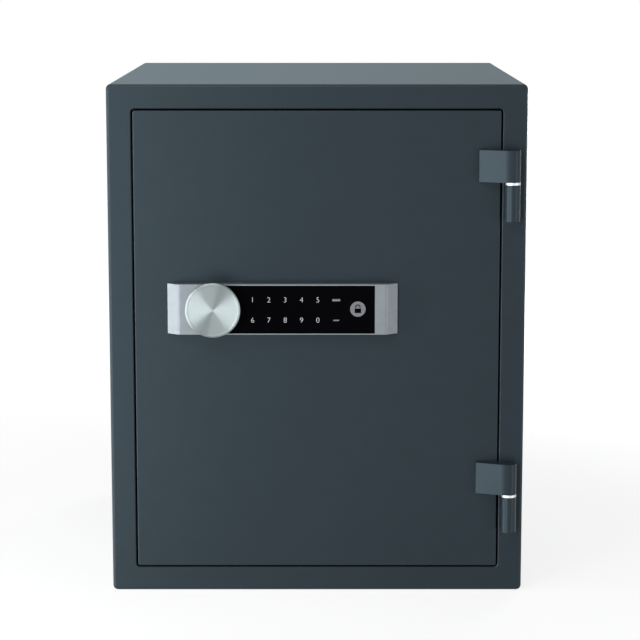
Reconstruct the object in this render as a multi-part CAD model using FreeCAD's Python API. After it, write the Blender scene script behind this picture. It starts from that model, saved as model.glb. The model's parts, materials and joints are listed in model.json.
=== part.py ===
import FreeCAD
import Part

import math
import os

# A fire safe. Millimetres; X to the right, Y to the back, Z up; the origin is the centre of the base.

# Cabinet
CABINET_WIDTH = 412.0
CABINET_HEIGHT = 510.0
CABINET_DEPTH = 420.0
SHEET = 1.5
CORNER_RADIUS = 5.0
BEND_RADIUS = 3.0
FRAME_BORDER = 24.0
FRAME_SKIRT = 12.0
OPENING_RADIUS = 4.0
OPENING_EDGE = 0.8
REBATE_LAND = 30.0
JAMB_MARGIN = 10.0
BACK_FLANGE = 14.0
BACK_WALL = 55.0
LINER_WALL = 2.5

# Floor anchors
ANCHOR_OFFSET = 85.0
ANCHOR_HOLE = 13.0
ANCHOR_SLEEVE_WALL = 3.0

# Shelf and its rails
SHELF_HEIGHT = 195.0
SHELF_SHEET = 1.5
SHELF_LIP = 16.0
SHELF_CLEARANCE = 1.0
SHELF_FRONT_GAP = 26.0
SHELF_BACK_GAP = 10.0
RAIL_SHEET = 2.0
RAIL_LEG = 12.0
RAIL_DROP = 16.0

# Door
DOOR_GAP = 1.6
DOOR_RADIUS = 2.0
DOOR_EDGE_RADIUS = 1.2
DOOR_PAN_DEPTH = 20.0
DOOR_SHEET = 2.0
SEAL_THICKNESS = 2.5
SEAL_WIDTH = 14.0
SEAL_INSET = 5.0
SEAL_GAP = 0.5
PLUG_CLEARANCE = 7.0
PLUG_DRAFT = 3.0
PLUG_RADIUS = 9.0
PLUG_FILL = 22.0
CHASSIS_SHEET = 2.0
CHASSIS_CLEARANCE = 1.5
COVER_WALL = 2.5
COVER_EDGE_RADIUS = 4.0
COVER_PANEL_INSET = 30.0
COVER_PANEL_DEPTH = 0.8
POST_INSET = 14.0
POST_DIAMETER = 10.0
COVER_SCREW = 5.0
STANDOFF_INSET = 46.0
STANDOFF_DIAMETER = 8.0
STANDOFF_THREAD = 4.0

# Hinges
HINGE_SIDE = 14.5
HINGE_INSET = 73.0
HINGE_RISE = 3.5
KNUCKLE_DIAMETER = 15.0
KNUCKLE_GAP = 0.5
LEAF_REACH = 33.0
LEAF_LEAN = 20.0
LEAF_TURN = 24.0
LEAF_ROUND = 1.2
LEAF_KNUCKLE = 31.2
FRAME_KNUCKLE = 36.0
KNUCKLE_FOOT = 10.0
THRUST_WASHER = 2.5
HINGE_PIN = 8.0
HINGE_PIN_REACH = 24.0
HINGE_PIN_GAP = 1.0
HINGE_PIN_CHAMFER = 1.0
RUNNING_CLEARANCE = 0.06

# Lock bar and touch panel
LOCK_RISE = 35.5
BEZEL_DROP = 1.5
BEZEL_INSET = 32.8
BEZEL_LENGTH = 227.2
BEZEL_HEIGHT = 50.5
BEZEL_DEPTH = 10.0
BEZEL_WALL = 2.0
BEZEL_SLOPE = 11.0
BEZEL_EASE = 5.0
BEZEL_RIM = 1.3
BEZEL_LEDGE = 3.0
BEZEL_EDGE_RADIUS = 0.6
GLASS_THICKNESS = 2.0
GLASS_END = 22.5
GLASS_FIT = 0.1
LEDGE_THICKNESS = 1.5
BOARD_THICKNESS = 1.6
STUD_DIAMETER = 5.0
STUD_INSET = 14.0
NUT_FLATS = 8.0
NUT_HEIGHT = 4.0

# Knob and spindle
KNOB_INSET = 45.5
KNOB_DIAMETER = 54.0
KNOB_BASE_DIAMETER = 47.0
KNOB_LENGTH = 14.0
KNOB_BEVEL = 1.2
KNOB_RIM_DEPTH = 4.7
KNOB_LIP = 1.2
KNOB_DISH = 0.3
KNOB_GAP = 0.5
KNOB_TURN = 90.0
SPINDLE_DIAMETER = 10.0
SPINDLE_BUSH_WALL = 2.5
CLIP_THICKNESS = 1.2

# Boltwork
GEAR_MODULE = 1.5
PINION_TEETH = 18
PRESSURE_ANGLE = 20.0
BACKLASH = 0.3
FLANK_STEPS = 4
PLATE_THICKNESS = 6.0
RACK_LEAD = 8.0
RACK_BACK = 12.0
BAR_WIDTH = 22.0
BAR_CLEARANCE = 3.0
BAR_END = 12.0
BOLT_DIAMETER = 18.0
BOLT_SPACING = 160.0
BOLT_CHAMFER = 2.0
BOLT_SLOT = 17.0
BOLT_PIN = 6.0
BUSH_WALL = 2.5
BUSH_LENGTH = 12.0
EAR_HEIGHT = 34.0
EAR_GAP = 1.0
CHAMBER_MARGIN = 4.0
STRIKE_CLEARANCE = 1.0
STRIKE_DEPTH_SPARE = 2.0
STRIKE_WALL = 2.0
DEAD_BOLT_DIAMETER = 14.0
DEAD_BOLT_REACH = 7.0
DEAD_BOLT_HEAD = 5.0
DEAD_BOLT_CHAMFER = 1.5
KEEPER_SWEEP = 5.0

# Solenoid latch
LATCH_DROP = 34.0
LATCH_ARM = 16.0
LATCH_OFFSET = 20.0
LATCH_NOTCH = 9.0
LATCH_NOTCH_DEPTH = 6.5
PLUNGER_DIAMETER = 8.0
PLUNGER_TRAVEL = 5.0
PLUNGER_GAP = 0.6
PLUNGER_HEAD = 6.5
PLUNGER_CHAMFER = 1.0
PLUNGER_FLANGE = 2.0
SOLENOID_WIDTH = 26.0
SOLENOID_HEIGHT = 34.0
SOLENOID_RISE = 4.0
SOLENOID_SHEET = 2.0
COIL_WALL = 5.5
COIL_CHEEK = 1.0

# Control board, cable and batteries
BOARD_LENGTH = 100.0
BOARD_HEIGHT = 54.0
BOARD_INSET = 23.5
BOARD_RISE = 42.0
BOARD_STANDOFF = 7.0
PEG_INSET = 5.0
PEG_DIAMETER = 6.0
RELAY_LENGTH = 20.0
RELAY_HEIGHT = 16.0
RELAY_DEPTH = 10.0
CHIP_SIZE = 14.0
CHIP_DEPTH = 3.0
SOUNDER_DIAMETER = 16.0
SOUNDER_DEPTH = 8.0
PIECE_INSET = 10.0
CABLE_DIAMETER = 4.0
CABLE_OFFSET = 25.0
CABLE_BEND = 4.0
CABLE_TURN = 8.0
CABLE_SLEEVE_WALL = 1.5
CONNECTOR_WIDTH = 8.0
CONNECTOR_HEIGHT = 10.0
CONNECTOR_RISE = 17.0
CONNECTOR_GAP = 1.0
CELL_DIAMETER = 14.2
CELL_LENGTH = 50.0
CELL_GAP = 0.4
CELL_CAP = 1.5
CELL_CAP_DIAMETER = 5.5
HOLDER_WALL = 2.0
HOLDER_INSET = 21.0
HOLDER_DROP = 130.0
LID_MARGIN = 4.0
LID_FIT = 0.4
RIB_COUNT = 3
RIB_WIDTH = 1.5
RIB_PITCH = 4.0
RIB_INSET = 10.0

# Derived places
FRONT = -CABINET_DEPTH / 2
BACK = CABINET_DEPTH / 2
MID_HEIGHT = CABINET_HEIGHT / 2
WRAP_FRONT = FRONT + FRAME_SKIRT
OPENING_WIDTH = CABINET_WIDTH - 2 * FRAME_BORDER
OPENING_HEIGHT = CABINET_HEIGHT - 2 * FRAME_BORDER
JAMB_WIDTH = OPENING_WIDTH - 2 * REBATE_LAND
JAMB_HEIGHT = OPENING_HEIGHT - 2 * REBATE_LAND
JAMB_SIDE = JAMB_WIDTH / 2
LINER_FLOOR = MID_HEIGHT - JAMB_HEIGHT / 2
LINER_TOP = MID_HEIGHT + JAMB_HEIGHT / 2

DOOR_WIDTH = OPENING_WIDTH - 2 * DOOR_GAP
DOOR_HEIGHT = OPENING_HEIGHT - 2 * DOOR_GAP
DOOR_BACK = FRONT + DOOR_PAN_DEPTH
REBATE = DOOR_BACK + SEAL_THICKNESS + SEAL_GAP
PLUG_WIDTH = JAMB_WIDTH - 2 * PLUG_CLEARANCE
PLUG_HEIGHT = JAMB_HEIGHT - 2 * PLUG_CLEARANCE
TIP_WIDTH = PLUG_WIDTH - 2 * PLUG_DRAFT
TIP_HEIGHT = PLUG_HEIGHT - 2 * PLUG_DRAFT
FILL_BACK = DOOR_BACK + PLUG_FILL
CHASSIS_BACK = FILL_BACK + CHASSIS_SHEET
CHAMBER_DEPTH = BOLT_DIAMETER + 2 * CHAMBER_MARGIN
CHAMBER_BACK = CHASSIS_BACK + CHAMBER_DEPTH
COVER_BACK = CHAMBER_BACK + COVER_WALL
CHASSIS_WIDTH = TIP_WIDTH - 2 * (COVER_WALL + CHASSIS_CLEARANCE)
CHASSIS_HEIGHT = TIP_HEIGHT - 2 * (COVER_WALL + CHASSIS_CLEARANCE)
POST_X = TIP_WIDTH / 2 - COVER_WALL - POST_INSET
POST_Z = TIP_HEIGHT / 2 - COVER_WALL - POST_INSET
STANDOFF_X = TIP_WIDTH / 2 - COVER_WALL - STANDOFF_INSET

BOLT_Y = CHASSIS_BACK + CHAMBER_DEPTH / 2
STRIKE_RADIUS = BOLT_DIAMETER / 2 + STRIKE_CLEARANCE
JAMB_END = BOLT_Y + STRIKE_RADIUS + STRIKE_WALL + JAMB_MARGIN
LINER_BACK = BACK - BACK_WALL

AXIS_X = CABINET_WIDTH / 2 - HINGE_SIDE
AXIS_Y = FRONT - KNUCKLE_GAP - KNUCKLE_DIAMETER / 2
HINGE_HEIGHTS = {
    "upper": MID_HEIGHT + DOOR_HEIGHT / 2 - HINGE_INSET + HINGE_RISE,
    "lower": MID_HEIGHT - DOOR_HEIGHT / 2 + HINGE_INSET + HINGE_RISE,
}

LOCK_Z = MID_HEIGHT + LOCK_RISE
BEZEL_Z = LOCK_Z - BEZEL_DROP
BEZEL_LEFT = -DOOR_WIDTH / 2 + BEZEL_INSET
BEZEL_RIGHT = BEZEL_LEFT + BEZEL_LENGTH
BEZEL_FRONT = FRONT - BEZEL_DEPTH
KNOB_X = BEZEL_LEFT + KNOB_INSET
KNOB_BACK = BEZEL_FRONT - KNOB_GAP
KNOB_FRONT = KNOB_BACK - KNOB_LENGTH
GLASS_RIGHT = BEZEL_RIGHT - GLASS_END
GLASS_HEIGHT = BEZEL_HEIGHT - 2 * BEZEL_RIM
BOARD_FRONT = BEZEL_FRONT + GLASS_THICKNESS + LEDGE_THICKNESS
FRONT_BUSH_RADIUS = SPINDLE_DIAMETER / 2 + SPINDLE_BUSH_WALL
SPINDLE_END = BOLT_Y + PLATE_THICKNESS / 2 + 2 * CLIP_THICKNESS
STUD_X = (BEZEL_LEFT + STUD_INSET, BEZEL_RIGHT - STUD_INSET)

PITCH_RADIUS = GEAR_MODULE * PINION_TEETH / 2
PINION_TIP = PITCH_RADIUS + GEAR_MODULE
DEDENDUM = 1.25 * GEAR_MODULE
BOLT_TRAVEL = PITCH_RADIUS * math.radians(KNOB_TURN)
TOOTH_PITCH = math.pi * GEAR_MODULE
RACK_LINE = LOCK_Z - PITCH_RADIUS
BAR_LEFT = KNOB_X + PINION_TIP + BOLT_TRAVEL + BAR_CLEARANCE
BOLT_TIP = -TIP_WIDTH / 2
BOLT_HEIGHTS = (LOCK_Z - BOLT_SPACING / 2, LOCK_Z + BOLT_SPACING / 2)
PLATE_FRONT = BOLT_Y - PLATE_THICKNESS / 2
PLATE_BACK = BOLT_Y + PLATE_THICKNESS / 2
EAR_X = CHASSIS_WIDTH / 2
DEAD_BOLT_TIP = JAMB_SIDE + DEAD_BOLT_REACH

LATCH_TOP = LOCK_Z - LATCH_DROP
PLUNGER_X = BAR_LEFT + BAR_WIDTH + LATCH_OFFSET
SOLENOID_BOTTOM = LATCH_TOP + SOLENOID_RISE
SOLENOID_TOP = SOLENOID_BOTTOM + SOLENOID_HEIGHT

BOARD_RIGHT = CHASSIS_WIDTH / 2 - BOARD_INSET
BOARD_LEFT = BOARD_RIGHT - BOARD_LENGTH
BOARD_Z = LOCK_Z + BOARD_RISE
BOARD_Y = CHASSIS_BACK + BOARD_STANDOFF
CABLE_X = KNOB_X + CABLE_OFFSET
CABLE_Y = CHASSIS_BACK + CABLE_BEND
CABLE_Z = BOARD_Z - BOARD_HEIGHT / 2 + CONNECTOR_RISE
CABLE_HOLE = CABLE_DIAMETER / 2 + CABLE_SLEEVE_WALL
HOLDER_INNER_LENGTH = 2 * CELL_LENGTH + 3 * CELL_GAP
HOLDER_X = CHASSIS_WIDTH / 2 - HOLDER_INSET - HOLDER_WALL - HOLDER_INNER_LENGTH / 2
HOLDER_Z = LOCK_Z - HOLDER_DROP
HOLDER_INNER_HEIGHT = 2 * CELL_DIAMETER + 3 * CELL_GAP
HOLDER_INNER_DEPTH = CELL_DIAMETER + 2 * CELL_GAP
LID_LENGTH = HOLDER_INNER_LENGTH - 2 * LID_MARGIN
LID_HEIGHT = HOLDER_INNER_HEIGHT - LID_MARGIN

X_AXIS = FreeCAD.Vector(1, 0, 0)
Y_AXIS = FreeCAD.Vector(0, 1, 0)
Z_AXIS = FreeCAD.Vector(0, 0, 1)

# Places nearer than this count as one
TOLERANCE = 1e-6


def vector(x, y, z):
    return FreeCAD.Vector(x, y, z)


def box(x0, x1, y0, y1, z0, z1):
    return Part.makeBox(x1 - x0, y1 - y0, z1 - z0, vector(x0, y0, z0))


def rod_x(x0, x1, radius, y, z):
    return Part.makeCylinder(radius, x1 - x0, vector(x0, y, z), X_AXIS)


def rod_y(x, y0, y1, radius, z):
    return Part.makeCylinder(radius, y1 - y0, vector(x, y0, z), Y_AXIS)


def rod_z(x, y, z0, z1, radius):
    return Part.makeCylinder(radius, z1 - z0, vector(x, y, z0), Z_AXIS)


def outline(width, height, radius, y):
    """Rectangle with round corners, square to Y, about the cabinet's mid height."""
    side = width / 2 - radius
    rise = height / 2 - radius
    corners = []
    for quarter, (cx, cz) in enumerate(((side, rise), (-side, rise), (-side, -rise), (side, -rise))):
        points = []
        for turn in (0, 45, 90):
            angle = math.radians(90 * quarter + turn)
            x = cx + radius * math.cos(angle)
            points.append(vector(x, y, MID_HEIGHT + cz + radius * math.sin(angle)))
        corners.append(points)
    edges = []
    for index, (start, middle, end) in enumerate(corners):
        edges.append(Part.Arc(start, middle, end).toShape())
        edges.append(Part.LineSegment(end, corners[(index + 1) % 4][0]).toShape())
    return Part.Wire(edges)


def prism(width, height, radius, y0, y1):
    return Part.Face(outline(width, height, radius, y0)).extrude(vector(0, y1 - y0, 0))


def plug(offset, y_end):
    """The tapered plug of the door, its sides moved inwards by offset, from the door pan to y_end."""
    share = (y_end - DOOR_BACK) / (COVER_BACK - DOOR_BACK)
    inset = 2 * (offset + share * PLUG_DRAFT)
    root = outline(PLUG_WIDTH - 2 * offset, PLUG_HEIGHT - 2 * offset, PLUG_RADIUS - offset, DOOR_BACK)
    tip = outline(PLUG_WIDTH - inset, PLUG_HEIGHT - inset, PLUG_RADIUS - offset, y_end)
    return Part.makeLoft([root, tip], True, True)


def polygon_prism(points, direction):
    return Part.Face(Part.makePolygon(points + points[:1])).extrude(direction)


def edges_at_y(shape, y):
    """Edges that lie wholly in the plane at y."""
    chosen = []
    for edge in shape.Edges:
        bounds = edge.BoundBox
        if abs(bounds.YMin - y) < TOLERANCE and abs(bounds.YMax - y) < TOLERANCE:
            chosen.append(edge)
    return chosen


def hexagon(x, y0, y1, z, flats):
    points = []
    for corner in range(6):
        angle = math.radians(60 * corner)
        reach = flats / math.sqrt(3)
        points.append(vector(x + reach * math.cos(angle), y0, z + reach * math.sin(angle)))
    return polygon_prism(points, vector(0, y1 - y0, 0))


def corners(x, z):
    return [(sx * x, MID_HEIGHT + sz * z) for sx in (-1, 1) for sz in (-1, 1)]


# Cabinet


def anchor_holes():
    return [rod_z(x, 0, 0, LINER_FLOOR, ANCHOR_HOLE / 2) for x in (-ANCHOR_OFFSET, ANCHOR_OFFSET)]


def outer_wrap():
    sleeve = prism(CABINET_WIDTH, CABINET_HEIGHT, CORNER_RADIUS, WRAP_FRONT, BACK)
    sleeve = sleeve.makeFillet(BEND_RADIUS, edges_at_y(sleeve, BACK))
    inside = prism(
        CABINET_WIDTH - 2 * SHEET, CABINET_HEIGHT - 2 * SHEET, CORNER_RADIUS - SHEET, WRAP_FRONT, BACK - SHEET
    )
    window = prism(
        CABINET_WIDTH - 2 * BACK_FLANGE, CABINET_HEIGHT - 2 * BACK_FLANGE, CORNER_RADIUS, BACK - SHEET, BACK
    )
    return sleeve.cut([inside, window] + anchor_holes())


def back_panel():
    return prism(
        CABINET_WIDTH - 2 * SHEET,
        CABINET_HEIGHT - 2 * SHEET,
        CORNER_RADIUS - SHEET,
        BACK - 2 * SHEET,
        BACK - SHEET,
    )


def strike_holes(x0, x1):
    return [rod_x(x0, x1, STRIKE_RADIUS, BOLT_Y, z) for z in BOLT_HEIGHTS]


def keeper_slot(x0, x1, z, spare):
    """Slot that lets a fixed dead bolt swing out forwards."""
    radius = DEAD_BOLT_DIAMETER / 2 + STRIKE_CLEARANCE + spare
    back = rod_x(x0, x1, radius, BOLT_Y, z)
    front = rod_x(x0, x1, radius, BOLT_Y - KEEPER_SWEEP, z)
    middle = box(x0, x1, BOLT_Y - KEEPER_SWEEP, BOLT_Y, z - radius, z + radius)
    return back.fuse([front, middle]).removeSplitter()


def door_frame():
    """Front ring: a border with a skirt behind it and the walls of the rebate."""
    face = prism(CABINET_WIDTH, CABINET_HEIGHT, CORNER_RADIUS, FRONT, WRAP_FRONT)
    face = face.makeFillet(BEND_RADIUS, edges_at_y(face, FRONT))
    behind = prism(
        CABINET_WIDTH - 2 * SHEET,
        CABINET_HEIGHT - 2 * SHEET,
        CORNER_RADIUS - SHEET,
        FRONT + SHEET,
        WRAP_FRONT,
    )
    opening = prism(OPENING_WIDTH, OPENING_HEIGHT, OPENING_RADIUS, FRONT, REBATE)
    spare = 2 * OPENING_EDGE
    mouth = outline(OPENING_WIDTH + spare, OPENING_HEIGHT + spare, OPENING_RADIUS + OPENING_EDGE, FRONT)
    throat = outline(OPENING_WIDTH, OPENING_HEIGHT, OPENING_RADIUS, FRONT + OPENING_EDGE)
    flare = Part.makeLoft([mouth, throat], True, True)
    ring = face.cut(behind).fuse(rebate_block(REBATE)).removeSplitter()
    return ring.cut([opening, flare])


def rebate_block(y1):
    return prism(OPENING_WIDTH + 2 * SHEET, OPENING_HEIGHT + 2 * SHEET, OPENING_RADIUS + SHEET, FRONT, y1)


def land_block():
    """Outer block of the rebate's land, behind the front ring."""
    x = OPENING_WIDTH / 2 + SHEET
    z = OPENING_HEIGHT / 2 + SHEET
    return box(-x, x, REBATE, REBATE + SHEET, MID_HEIGHT - z, MID_HEIGHT + z)


def jamb_block(wall, y0, y1):
    """Block of the passage into the cabinet with its walls."""
    return box(-JAMB_SIDE - wall, JAMB_SIDE + wall, y0, y1, LINER_FLOOR - wall, LINER_TOP + wall)


def jamb_angles():
    """Four bent strips that form the land and the jamb, butted at the corners."""
    frame = land_block().fuse(jamb_block(SHEET, REBATE, JAMB_END)).removeSplitter()
    passage = jamb_block(0, REBATE, JAMB_END)
    frame = frame.cut(passage)
    frame = frame.makeFillet(SHEET, jamb_edges(frame))
    tall = 2 * CABINET_HEIGHT
    slots = [keeper_slot(JAMB_SIDE, JAMB_SIDE + SHEET, z, 0) for z in BOLT_HEIGHTS]
    left = frame.common(box(-tall, -JAMB_SIDE, FRONT, JAMB_END, -tall, tall))
    right = frame.common(box(JAMB_SIDE, tall, FRONT, JAMB_END, -tall, tall))
    top = frame.common(box(-JAMB_SIDE, JAMB_SIDE, FRONT, JAMB_END, LINER_TOP, tall))
    bottom = frame.common(box(-JAMB_SIDE, JAMB_SIDE, FRONT, JAMB_END, -tall, LINER_FLOOR))
    left = left.cut(strike_holes(-JAMB_SIDE - SHEET, -JAMB_SIDE))
    return Part.makeCompound([left, right.cut(slots), top, bottom])


def jamb_edges(frame):
    """The four edges where the land turns into the passage."""
    chosen = []
    for edge in edges_at_y(frame, REBATE):
        middle = edge.BoundBox.Center
        rise = abs(middle.z - MID_HEIGHT)
        if abs(middle.x) < JAMB_SIDE + TOLERANCE and rise < JAMB_HEIGHT / 2 + TOLERANCE:
            chosen.append(edge)
    return chosen


def strike_boxes():
    x1 = -JAMB_SIDE - SHEET
    pocket_end = BOLT_TIP - BOLT_TRAVEL - STRIKE_DEPTH_SPARE
    x0 = pocket_end - STRIKE_WALL
    reach = STRIKE_RADIUS + STRIKE_WALL
    boxes = [box(x0, x1, BOLT_Y - reach, BOLT_Y + reach, z - reach, z + reach) for z in BOLT_HEIGHTS]
    return Part.makeCompound(boxes).cut(strike_holes(pocket_end, x1))


def keeper_boxes():
    x0 = JAMB_SIDE + SHEET
    x1 = DEAD_BOLT_TIP + STRIKE_DEPTH_SPARE
    boxes = [keeper_slot(x0, x1 + STRIKE_WALL, z, STRIKE_WALL) for z in BOLT_HEIGHTS]
    return Part.makeCompound(boxes).cut([keeper_slot(x0, x1, z, 0) for z in BOLT_HEIGHTS])


def liner_walls():
    """Two sides and the ceiling of the liner."""
    side = JAMB_SIDE + LINER_WALL
    low = LINER_FLOOR - LINER_WALL
    high = LINER_TOP + LINER_WALL
    left = box(-side, -JAMB_SIDE, JAMB_END, LINER_BACK, low, high)
    right = box(JAMB_SIDE, side, JAMB_END, LINER_BACK, low, high)
    ceiling = box(-JAMB_SIDE, JAMB_SIDE, JAMB_END, LINER_BACK, LINER_TOP, high)
    return Part.makeCompound([left, right, ceiling])


def liner_floor():
    sheet = box(-JAMB_SIDE, JAMB_SIDE, JAMB_END, LINER_BACK, LINER_FLOOR - LINER_WALL, LINER_FLOOR)
    return sheet.cut(anchor_holes())


def liner_back():
    return jamb_block(LINER_WALL, LINER_BACK, LINER_BACK + LINER_WALL)


def anchor_sleeves():
    top = LINER_FLOOR - LINER_WALL
    radius = ANCHOR_HOLE / 2 + ANCHOR_SLEEVE_WALL
    tubes = [rod_z(x, 0, SHEET, top, radius) for x in (-ANCHOR_OFFSET, ANCHOR_OFFSET)]
    return Part.makeCompound(tubes).cut(anchor_holes())


def body_insulation(embedded):
    fill = prism(
        CABINET_WIDTH - 2 * SHEET,
        CABINET_HEIGHT - 2 * SHEET,
        CORNER_RADIUS - SHEET,
        FRONT + SHEET,
        BACK - 2 * SHEET,
    )
    rooms = [rebate_block(REBATE), land_block(), jamb_block(SHEET, REBATE, JAMB_END)]
    rooms.append(jamb_block(LINER_WALL, JAMB_END, LINER_BACK + LINER_WALL))
    radius = ANCHOR_HOLE / 2 + ANCHOR_SLEEVE_WALL
    sleeves = [rod_z(x, 0, 0, LINER_FLOOR, radius) for x in (-ANCHOR_OFFSET, ANCHOR_OFFSET)]
    pockets = strike_holes(BOLT_TIP - BOLT_TRAVEL - STRIKE_DEPTH_SPARE, -JAMB_SIDE)
    pockets += [keeper_slot(JAMB_SIDE, DEAD_BOLT_TIP + STRIKE_DEPTH_SPARE, z, 0) for z in BOLT_HEIGHTS]
    return fill.cut(rooms + sleeves + pockets).cut(embedded)


def shelf_span():
    return COVER_BACK + SHELF_FRONT_GAP, LINER_BACK - SHELF_BACK_GAP


def shelf_rails():
    top = LINER_FLOOR + SHELF_HEIGHT
    y0, y1 = shelf_span()
    rails = []
    for side in (-1, 1):
        wall = side * JAMB_SIDE
        leg = sorted((wall, wall - side * RAIL_LEG))
        web = sorted((wall, wall - side * RAIL_SHEET))
        ledge = box(leg[0], leg[1], y0, y1, top - RAIL_SHEET, top)
        rails.append(ledge.fuse(box(web[0], web[1], y0, y1, top - RAIL_DROP, top)).removeSplitter())
    return Part.makeCompound(rails)


def shelf():
    bottom = LINER_FLOOR + SHELF_HEIGHT
    y0, y1 = shelf_span()
    half = JAMB_SIDE - SHELF_CLEARANCE
    lip_half = half - RAIL_LEG - SHELF_CLEARANCE
    tray = box(-half, half, y0, y1, bottom, bottom + SHELF_SHEET)
    front_lip = box(-lip_half, lip_half, y0, y0 + SHELF_SHEET, bottom - SHELF_LIP, bottom)
    back_lip = box(-lip_half, lip_half, y1 - SHELF_SHEET, y1, bottom - SHELF_LIP, bottom)
    return tray.fuse([front_lip, back_lip]).removeSplitter()


# Hinges


def hinge_leaf(split):
    """Door-side leaf, a wedge that turns into the front of its knuckle, with a blind bore for the pin."""
    radius = KNUCKLE_DIAMETER / 2
    left = AXIS_X - LEAF_REACH
    face = AXIS_Y - radius
    lean = math.radians(LEAF_LEAN)
    run = LEAF_TURN * math.sin(lean)
    drop = LEAF_TURN * (1 - math.cos(lean))
    edge = vector(left, face + drop + (LEAF_REACH - run) * math.tan(lean), split)
    bend = vector(AXIS_X - run, face + drop, split)
    half_run = LEAF_TURN * math.sin(lean / 2)
    half_drop = LEAF_TURN * (1 - math.cos(lean / 2))
    bend_middle = vector(AXIS_X - half_run, face + half_drop, split)
    front = vector(AXIS_X, face, split)
    right = vector(AXIS_X + radius, AXIS_Y, split)
    rear = vector(AXIS_X, AXIS_Y + radius, split)
    step = DOOR_WIDTH / 2 - DOOR_RADIUS
    points = [
        rear,
        vector(step, FRONT - KNUCKLE_GAP, split),
        vector(step, FRONT, split),
        vector(left, FRONT, split),
        edge,
        bend,
    ]
    edges = [Part.LineSegment(a, b).toShape() for a, b in zip(points, points[1:])]
    edges.append(Part.Arc(bend, bend_middle, front).toShape())
    edges.append(Part.Arc(front, right, rear).toShape())
    leaf = Part.Face(Part.Wire(edges)).extrude(vector(0, 0, LEAF_KNUCKLE))
    rim = []
    for side in leaf.Edges:
        bounds = side.BoundBox
        if bounds.XMax < left + TOLERANCE and bounds.YMax < edge.y + TOLERANCE:
            rim.append(side)
    leaf = leaf.makeFillet(LEAF_ROUND, rim)
    return leaf.cut(rod_z(AXIS_X, AXIS_Y, split, split + HINGE_PIN_REACH, HINGE_PIN / 2 + RUNNING_CLEARANCE))


def frame_knuckle(split):
    top = split - THRUST_WASHER
    bottom = top - FRAME_KNUCKLE
    barrel = rod_z(AXIS_X, AXIS_Y, bottom, top, KNUCKLE_DIAMETER / 2)
    foot = box(AXIS_X - KNUCKLE_FOOT / 2, AXIS_X + KNUCKLE_FOOT / 2, AXIS_Y, FRONT, bottom, top)
    bore = rod_z(AXIS_X, AXIS_Y, bottom, top, HINGE_PIN / 2)
    return barrel.fuse(foot).removeSplitter().cut(bore)


def hinge_pin(split):
    bottom = split - THRUST_WASHER - FRAME_KNUCKLE
    pin = rod_z(AXIS_X, AXIS_Y, bottom, split + HINGE_PIN_REACH - HINGE_PIN_GAP, HINGE_PIN / 2)
    tip = [e for e in pin.Edges if e.BoundBox.ZMin > split]
    return pin.makeChamfer(HINGE_PIN_CHAMFER, tip)


def thrust_washer(split):
    ring = rod_z(AXIS_X, AXIS_Y, split - THRUST_WASHER, split, KNUCKLE_DIAMETER / 2)
    return ring.cut(rod_z(AXIS_X, AXIS_Y, split - THRUST_WASHER, split, HINGE_PIN / 2))


# Door


def door_pan():
    skin = prism(DOOR_WIDTH, DOOR_HEIGHT, DOOR_RADIUS, FRONT, DOOR_BACK)
    skin = skin.makeFillet(DOOR_EDGE_RADIUS, edges_at_y(skin, FRONT))
    inside = box(
        -DOOR_WIDTH / 2 + DOOR_SHEET,
        DOOR_WIDTH / 2 - DOOR_SHEET,
        FRONT + DOOR_SHEET,
        DOOR_BACK - DOOR_SHEET,
        MID_HEIGHT - DOOR_HEIGHT / 2 + DOOR_SHEET,
        MID_HEIGHT + DOOR_HEIGHT / 2 - DOOR_SHEET,
    )
    window = prism(
        PLUG_WIDTH - 2 * COVER_WALL,
        PLUG_HEIGHT - 2 * COVER_WALL,
        PLUG_RADIUS - COVER_WALL,
        DOOR_BACK - DOOR_SHEET,
        DOOR_BACK,
    )
    holes = [rod_y(KNOB_X, FRONT, FRONT + DOOR_SHEET, FRONT_BUSH_RADIUS, LOCK_Z)]
    holes.append(rod_y(CABLE_X, FRONT, FRONT + DOOR_SHEET, CABLE_HOLE, LOCK_Z))
    holes += [rod_y(x, FRONT, FRONT + DOOR_SHEET, STUD_DIAMETER / 2, BEZEL_Z) for x in STUD_X]
    return skin.cut([inside, window] + holes)


def door_insulation(embedded):
    slab = box(
        -DOOR_WIDTH / 2 + DOOR_SHEET,
        DOOR_WIDTH / 2 - DOOR_SHEET,
        FRONT + DOOR_SHEET,
        DOOR_BACK - DOOR_SHEET,
        MID_HEIGHT - DOOR_HEIGHT / 2 + DOOR_SHEET,
        MID_HEIGHT + DOOR_HEIGHT / 2 - DOOR_SHEET,
    )
    neck = prism(
        PLUG_WIDTH - 2 * COVER_WALL,
        PLUG_HEIGHT - 2 * COVER_WALL,
        PLUG_RADIUS - COVER_WALL,
        DOOR_BACK - DOOR_SHEET,
        DOOR_BACK,
    )
    fill = slab.fuse([neck, plug(COVER_WALL, FILL_BACK)]).removeSplitter()
    bores = [rod_y(KNOB_X, FRONT, FILL_BACK, FRONT_BUSH_RADIUS, LOCK_Z)]
    bores.append(rod_y(CABLE_X, FRONT, FILL_BACK, CABLE_HOLE, LOCK_Z))
    return fill.cut(bores).cut(embedded)


def door_seal():
    """Four strips on the back of the door pan, butted at the corners."""
    x1 = DOOR_WIDTH / 2 - SEAL_INSET
    x0 = x1 - SEAL_WIDTH
    z1 = DOOR_HEIGHT / 2 - SEAL_INSET
    z0 = z1 - SEAL_WIDTH
    back = DOOR_BACK + SEAL_THICKNESS
    strips = [
        box(-x1, -x0, DOOR_BACK, back, MID_HEIGHT - z1, MID_HEIGHT + z1),
        box(x0, x1, DOOR_BACK, back, MID_HEIGHT - z1, MID_HEIGHT + z1),
        box(-x0, x0, DOOR_BACK, back, MID_HEIGHT + z0, MID_HEIGHT + z1),
        box(-x0, x0, DOOR_BACK, back, MID_HEIGHT - z1, MID_HEIGHT - z0),
    ]
    return Part.makeCompound(strips)


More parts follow.
